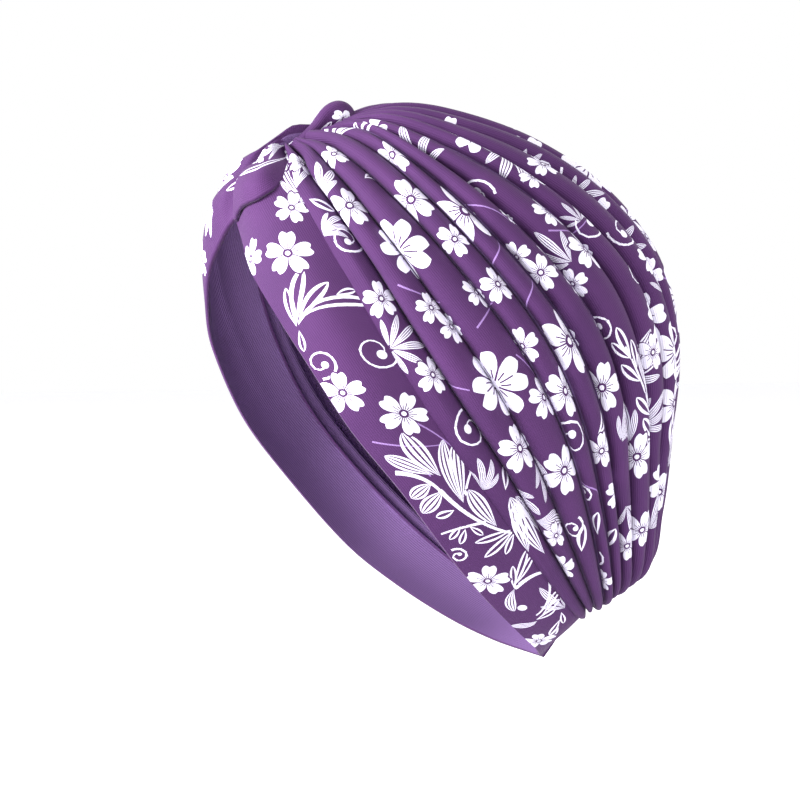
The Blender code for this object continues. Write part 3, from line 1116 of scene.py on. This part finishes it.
        between = calc("MULTIPLY", calc("GREATER_THAN", x, 0.0), calc("LESS_THAN", x, 1.0))
        line = calc("LESS_THAN", across, calc("MULTIPLY_ADD", x, -shape.line_thins, 1.0))
        line = calc("MULTIPLY", line, between)
        dot = calc("MULTIPLY", calc("LESS_THAN", radius, 1.0), of_kind(Motif.DOT))
        leaf = calc("MAXIMUM", calc("MULTIPLY", blade, is_blade), calc("MULTIPLY", line, of_kind(Motif.LINE)))
        inks = (
            calc("MULTIPLY", flower, blossom),
            calc("MULTIPLY", clear, blossom),
            calc("MAXIMUM", leaf, dot),
            calc("MULTIPLY", line, of_kind(Motif.TENDRIL)),
        )
        for socket, ink in zip(end.inputs, inks):
            group.links.new(ink, socket)


@dataclass
class PleatedCrown:
    """The pleated cloth over the top, sides and back, twelve soft pleats a side. Its lengths are in
    metres, its shares are of a pleat's height or of the line from the knot to the nape."""

    rows: int = 124
    steps: int = 14
    rows_crowd: float = 1.3
    seeds: tuple = (40, 70)
    wall: float = 1.6 * MM
    depth: float = 8.0 * MM
    pitch_mm: float = 24.0
    crest_power: float = 2.3
    crest_round: float = 0.55
    uneven: float = 0.14
    uneven_turns: float = 7.0
    tallest: float = 1.06
    stray: float = 0.10
    stray_turns: float = 5.0
    puff: float = 5.0 * MM
    puff_full: float = 0.03
    puff_fades: float = 20 * MM
    end_radius: float = 7 * MM
    turned_full: float = 0.01
    lean: float = 2.4 * MM
    paired: tuple = (7, 8, 9, 10)
    pairs_part: float = 24 * MM
    lap: float = 2.0 * MM

    def build(self, finish: bpy.types.Material) -> bpy.types.Object:
        """Build the crown and dress it.

        Args:
            finish: The cloth's material.

        Returns:
            The crown.
        """
        left, right = self.half(Side.LEFT), self.half(Side.RIGHT)
        whole = 2 * PLEATS * self.pitch_mm
        right_cloth = right[2][:, ::-1][:, :, (1, 0, 3, 2)] * (-1, 1) + (whole, 0)
        cloth = np.concatenate((right_cloth, left[2]), axis=1)
        skins = []
        for layer in (0, 1):
            points = np.concatenate((right[layer][:, ::-1], left[layer][:, 1:]), axis=1)
            skins.append(ClothSkin(points, cloth))
        return Cloth("pleated_crown", *skins).build(CROWN_PRINT, finish)

    def half(self, side: Side) -> tuple[np.ndarray, np.ndarray, np.ndarray]:
        """One side of the crown, from the middle of the back to the band.

        Args:
            side: Which side.

        Returns:
            The outer points, the inner points and the quads' corners in the cloth.
        """
        seed = self.seeds[0] if side is Side.LEFT else self.seeds[1]
        rows = np.linspace(0, 1, self.rows + 1)[:, None] ** self.rows_crowd
        share = (1 - np.cos(np.linspace(0, math.pi, self.steps + 1))) / 2
        outer, inner, cloth = [], [], []
        for pleat in range(PLEATS):
            end = FOLD_ENDS[pleat] * (1 - share) + FOLD_ENDS[pleat + 1] * share
            station = end + (1 - end) * rows
            folds = self.strayed_folds(station, seed)
            angle = folds[..., pleat] * (1 - share) + folds[..., pleat + 1] * share
            angle = side.value * FORM.gathered(station, angle, end)
            base, normal = FORM.crown(station, angle), FORM.crown_normal(station, angle)
            rise = self.relief(pleat, share, station, end, base, seed)
            front = side.value * FORM.crown_round(station, angle)
            points = base + normal * rise[..., None] + front * self.leaning(rise, station)[..., None]
            under = points - normal * self.wall
            corners = self.cloth_of(points, PLEATS - 1 - pleat)
            # The last pleat's edge is tucked in under the band.
            if pleat == PLEATS - 1:
                tuck = points[:, -1:] + (front[:, -1:] - normal[:, -1:]) * self.lap
                points = np.concatenate((points, tuck), axis=1)
                under = np.concatenate((under, tuck - normal[:, -1:] * self.wall), axis=1)
                corners = np.concatenate((corners, corners[:, -1:]), axis=1)
            first = 0 if pleat == 0 else 1
            outer.append(points[:, first:])
            inner.append(under[:, first:])
            cloth.append(corners)
        return np.concatenate(outer, axis=1), np.concatenate(inner, axis=1), np.concatenate(cloth, axis=1)

    def relief(
        self, pleat: int, share: np.ndarray, station: np.ndarray, end: np.ndarray, base: np.ndarray, seed: int
    ) -> np.ndarray:
        """How far a pleat's cloth stands off the smooth crown.

        Args:
            pleat: The pleat's number from the back.
            share: Places across it.
            station: Its stations, a row by a column.
            end: The station where each column ends at the gather.
            base: Its places on the smooth crown.
            seed: Seed of the side's unevenness.

        Returns:
            The height, less than nothing in the grooves.
        """
        gone = lengths_along(base, 0)
        height = (1 - np.abs(2 * share - 1) ** self.crest_power) ** self.crest_round
        # By the front gather two neighbouring pleats are one blunt roll, which parts farther on.
        if pleat in self.paired:
            pair = (share + self.paired.index(pleat) % 2) / 2
            blunt = np.sqrt(1 - (2 * pair - 1) ** 2)
            height = height + (blunt - height) * np.exp(-(gone / self.pairs_part) ** 2)
        tall = 1 + self.uneven * wave(seed + pleat, station, self.uneven_turns)
        depth = self.depth * FORM.section("depth", station)
        sink = depth * (1 - height * np.minimum(tall, self.tallest))
        if pleat == PLEATS - 1:
            sink = np.where(share > 0.5, FORM.seam_sink(station) * (1 - height), sink)
        # The gathered ends puff up and turn in where they are held.
        full = ease(end / self.puff_full)
        puff = self.puff * full * np.exp(-(gone / self.puff_fades) ** 2) * height
        inside = 1 - np.minimum(gone / self.end_radius, 1)
        turned = self.end_radius * (1 - np.sqrt(1 - inside ** 2)) * ease(end / self.turned_full)
        return puff - sink - turned

    def leaning(self, rise: np.ndarray, station: np.ndarray) -> np.ndarray:
        """How far a pleat leans forward over its groove: its crest most and the groove not at all.

        Args:
            rise: How far its cloth stands off the smooth crown.
            station: Its stations.

        Returns:
            The lean, in metres.
        """
        depth = np.maximum(self.depth * FORM.section("depth", station), 1e-6)
        return self.lean * ease((depth + rise) / depth) * np.sin(math.pi * station) ** 0.5

    def strayed_folds(self, station: np.ndarray, seed: int) -> np.ndarray:
        """The folds' angles with the small wandering of real gathers.

        Args:
            station: The stations.
            seed: Seed of the side's unevenness.

        Returns:
            The angles in radians, a fold a column.
        """
        folds = FORM.folds(station)
        strayed = folds.copy()
        for number in range(1, PLEATS):
            room = folds[..., number + 1] - folds[..., number - 1]
            swing = wave(seed + number, station, self.stray_turns)
            strayed[..., number] += self.stray * room * swing * np.sin(math.pi * station)
        return strayed

    def cloth_of(self, points: np.ndarray, number: int) -> np.ndarray:
        """Where a pleat's quads lie in the cloth.

        Args:
            points: The pleat's points, a row a station, from the back to the front.
            number: The pleat's number, counted from the band.

        Returns:
            The quads' corners in millimetres.
        """
        across = lengths_along(points, 1) / MM
        across = (number + 0.5) * self.pitch_mm - (across - across[:, -1:] / 2)
        crest = points[:, points.shape[1] // 2]
        along = lengths_along(crest, 0) / MM
        along = along - along[len(along) // 2]
        grid = np.stack((across, np.broadcast_to(along[:, None], across.shape)), axis=-1)
        return corners_of(grid)


@dataclass
class FaceBand:
    """A flat band of doubled cloth at the edge of the face opening. The right one's front end lies
    over the left one in two soft rolls and runs out at the gather."""

    side: Side
    columns: int = 150
    flap_columns: int = 46
    rows: int = 30
    wall: float = 2.0 * MM
    roll: float = 3.2 * MM
    roll_count: int = 2
    lift: float = 3.0 * MM
    lift_ends: float = 0.45
    lift_full: float = 0.3
    rolls_end: float = 0.60
    blends_from: float = 0.72
    sunk: float = 0.8 * MM
    lap: float = 1.8 * MM
    overlap: float = 0.8 * MM
    seam_from: float = 0.95
    tucks_along: int = 3

    def build(self, finish: bpy.types.Material) -> bpy.types.Object:
        """Build the band and dress it.

        Args:
            finish: The cloth's material.

        Returns:
            The band.
        """
        across = np.sin(np.linspace(0, math.pi / 2, self.rows + 1))[:, None]
        run = np.linspace(0, 1, self.columns + 1)
        place, normal = self.surface(across, run[None, :])
        # The ends of the two bands meet in a seam in the middle of the nape.
        near_seam = ease((run - self.seam_from) / (1 - self.seam_from))
        place[..., 0] -= (place[:, -1:, 0] + self.overlap) * near_seam
        if self.side is Side.RIGHT:
            place[..., 0] *= -1
            normal[..., 0] *= -1
            flap, flap_normal = self.flap(across, np.linspace(1, 0, self.flap_columns + 1)[None, :-1])
            place = np.concatenate((flap, place), axis=1)
            normal = np.concatenate((flap_normal, normal), axis=1)
        upward = unit(place[:1] - place[self.tucks_along:self.tucks_along + 1])
        tuck = place[:1] - normal[:1] * self.lap + upward * self.lap
        outer = np.concatenate((tuck, place))
        inner = outer - np.concatenate((normal[:1], normal)) * self.wall
        cloth = self.cloth_of(outer)
        name = f"face_band_{self.side.name.lower()}"
        prints = LEFT_BAND if self.side is Side.LEFT else RIGHT_BAND
        return Cloth(name, ClothSkin(outer, cloth), ClothSkin(inner, cloth)).build(prints, finish)

    def rolls(self, across: np.ndarray) -> np.ndarray:
        """How high the soft rolls of the crossing band stand, at places across it."""
        return self.roll * np.abs(np.sin(self.roll_count * math.pi * across))

    def surface(self, across: np.ndarray, run: np.ndarray) -> tuple[np.ndarray, np.ndarray]:
        """The band's outside from the middle of the brow to the nape, on the wearer's left.

        Args:
            across: Places across the band.
            run: Shares of its length.

        Returns:
            The places and the outward directions.
        """
        place, normal = FORM.band(run, across)
        if self.side is Side.LEFT:
            return place, normal
        lifted = self.lift * ease(1 - run / self.lift_ends)
        rolls = self.rolls(across) * ease(1 - run / self.rolls_end)
        rise = ease(across / self.lift_full) * (lifted + rolls)
        return place + normal * rise[..., None], normal

    def flap(self, across: np.ndarray, reach: np.ndarray) -> tuple[np.ndarray, np.ndarray]:
        """The right band's front end, which lies over the left band.

        Args:
            across: Places across the right band.
            reach: Share of the way from the middle of the brow to the gather.

        Returns:
            The places and the outward directions.
        """
        edge = smooth_curve(FLAP[:, 0], FLAP[:, 1:], reach)
        place, normal = FORM.band(across * edge[..., 0], across * edge[..., 1])
        blend = ease((reach - self.blends_from) / (1 - self.blends_from))
        lifted = ease(across / self.lift_full) * (self.lift + self.rolls(across))
        rise = lifted * (1 - blend) - self.sunk * blend
        return place + normal * rise[..., None], normal

    def cloth_of(self, points: np.ndarray) -> np.ndarray:
        """Where the band's quads lie in the cloth, from its edge and the middle of the brow.

        Args:
            points: The band's points, a row across it, from the crown to the opening.

        Returns:
            The quads' corners in millimetres.
        """
        across = lengths_along(points, 0)
        across = (across[-1:] - across) / MM
        along = lengths_along(points, 1)
        along = along[len(along) // 2] / MM
        if self.side is Side.RIGHT:
            along = along - along[self.flap_columns]
        along = np.broadcast_to(along, across.shape)
        return corners_of(np.stack((across, along), axis=-1))


@dataclass
class FrontKnot:
    """The rolled wrap of cloth on top, which runs from the brow to the knot and tucks in behind it."""

    rounds: int = 48
    steps: int = 90
    wall: float = 1.4 * MM
    creases: int = 3
    crease: float = 0.13
    twist: float = 1.1
    thinnest: float = 0.2 * MM
    print_middle_mm: float = 14.0

    def build(self, finish: bpy.types.Material) -> bpy.types.Object:
        """Build the wrap and dress it.

        Args:
            finish: The cloth's material.

        Returns:
            The wrap.
        """
        share = np.linspace(0, 1, self.steps + 1)
        rows = smooth_curve(WRAP[:, 0], WRAP[:, 1:], share) * MM
        centre = np.stack((np.zeros_like(share), -rows[:, 0], rows[:, 1]), axis=-1)
        ahead = unit(np.gradient(centre, axis=0))
        up = unit(np.cross((1.0, 0.0, 0.0), ahead))
        turn = np.linspace(-math.pi, math.pi, self.rounds + 1)[None, :]
        ring = 1 + self.crease * np.cos(self.creases * turn + 2 * math.pi * self.twist * share[:, None])
        skins = []
        for inward in (0.0, self.wall):
            width = np.maximum(rows[:, 2] - inward, self.thinnest)[:, None] * ring
            height = np.maximum(rows[:, 3] - inward, self.thinnest)[:, None] * ring
            place = centre[:, None] + up[:, None] * (height * np.cos(turn))[..., None]
            place[..., 0] += width * np.sin(turn)
            skins.append(place)
        around = rows[:, 2:3] * turn / MM
        along = np.cumsum(np.linalg.norm(np.diff(centre, axis=0, prepend=centre[:1]), axis=-1)) / MM
        around = around + self.print_middle_mm
        cloth = corners_of(np.stack((around, np.broadcast_to(along[:, None], around.shape)), axis=-1))
        outside, inside = (ClothSkin(skin, cloth) for skin in skins)
        return Cloth("front_knot_wrap", outside, inside).build((Laid(KNOT_CHART),), finish)


@dataclass(frozen=True)
class Lamp:
    """A soft square light: where it stands, in degrees and metres, its watts and its width."""

    name: str
    azimuth: float
    elevation: float
    far: float
    power: float
    width: float


@dataclass
class Studio:
    """A pale floor, soft light and the camera at the photograph's angle."""

    azimuth: float = 68.0
    elevation: float = 2.0
    distance: float = 1.7
    pixels_per_mm: float = 2.4
    centre_right_mm: float = -10.4
    centre_up_mm: float = -12.5
    sensor: float = 36.0
    frame_pixels: int = 800
    lamps: tuple = (
        Lamp("key_light", 2, 20, 1.6, 64.0, 0.6),
        Lamp("fill_light", 104, 16, 1.8, 13.0, 1.2),
        Lamp("back_light", 220, 35, 1.8, 10.0, 1.2),
    )
    paper: str = "#FBFBFD"
    paper_roughness: float = 0.9
    floor_width: float = 8.0
    floor_down: float = 0.145

    def build(self) -> None:
        """Add the camera, the lights and the floor."""
        towards = self.direction(self.azimuth, self.elevation)
        right = Vector((math.cos(math.radians(self.azimuth)), math.sin(math.radians(self.azimuth)), 0))
        up = towards.cross(right).normalized()
        up = up if up.z > 0 else -up
        target = right * (self.centre_right_mm * MM) + up * (self.centre_up_mm * MM)
        data = bpy.data.cameras.new("studio_camera")
        data.sensor_width = self.sensor
        data.lens = self.pixels_per_mm / MM * self.distance / self.frame_pixels * self.sensor
        camera = bpy.data.objects.new("studio_camera", data)
        camera.location = target + towards * self.distance
        camera.rotation_euler = (-towards).to_track_quat("-Z", "Y").to_euler()
        bpy.context.scene.collection.objects.link(camera)
        bpy.context.scene.camera = camera
        for lamp in self.lamps:
            self.light(lamp)
        world = bpy.data.worlds.new("studio_world")
        world.use_nodes = True
        world.node_tree.nodes["Background"].inputs[0].default_value = (1.0, 1.0, 1.0, 1.0)
        world.node_tree.nodes["Background"].inputs[1].default_value = 1.0
        bpy.context.scene.world = world
        bpy.context.scene.view_settings.view_transform = "Standard"
        self.floor()

    def direction(self, azimuth: float, elevation: float) -> Vector:
        """Direction from the cap to a place by azimuth and elevation, in degrees."""
        a, e = math.radians(azimuth), math.radians(elevation)
        return Vector((math.sin(a) * math.cos(e), -math.cos(a) * math.cos(e), math.sin(e)))

    def light(self, lamp: Lamp) -> None:
        """Add a lamp that faces the cap.

        Args:
            lamp: The lamp.
        """
        data = bpy.data.lights.new(lamp.name, "AREA")
        data.energy = lamp.power
        data.size = lamp.width
        made = bpy.data.objects.new(lamp.name, data)
        away = self.direction(lamp.azimuth, lamp.elevation)
        made.location = away * lamp.far
        made.rotation_euler = (-away).to_track_quat("-Z", "Y").to_euler()
        bpy.context.scene.collection.objects.link(made)

    def floor(self) -> None:
        """Add the plain pale floor."""
        bpy.ops.mesh.primitive_plane_add(size=self.floor_width, location=(0, 0, -self.floor_down))
        floor = bpy.context.object
        floor.name = "studio_floor"
        material = bpy.data.materials.new("studio_paper")
        material.use_nodes = True
        shader = material.node_tree.nodes["Principled BSDF"]
        shader.inputs["Base Color"].default_value = linear(self.paper)
        shader.inputs["Roughness"].default_value = self.paper_roughness
        floor.data.materials.append(material)


def cloth_area(piece: bpy.types.Object) -> float:
    """Half the area of a closed wall of cloth, in square metres."""
    return sum(face.area for face in piece.data.polygons) / 2


def main() -> None:
    """Build the cap's pieces and the studio, and report each."""
    logging.basicConfig(level=logging.INFO, format="%(name)s: %(message)s")
    finish = PrintedJersey().material()
    crown = PleatedCrown().build(finish)
    left = FaceBand(Side.LEFT).build(finish)
    right = FaceBand(Side.RIGHT).build(finish)
    knot = FrontKnot().build(finish)
    for piece, node in ((crown, "crown"), (left, "band_left"), (right, "band_right"), (knot, "front_knot")):
        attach(piece, BODY)
        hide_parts(node)
        LOG.info("%s: %d faces, %.4f m2", piece.name, len(piece.data.polygons), cloth_area(piece))
    Studio().build()


if __name__ == "__main__":
    main()
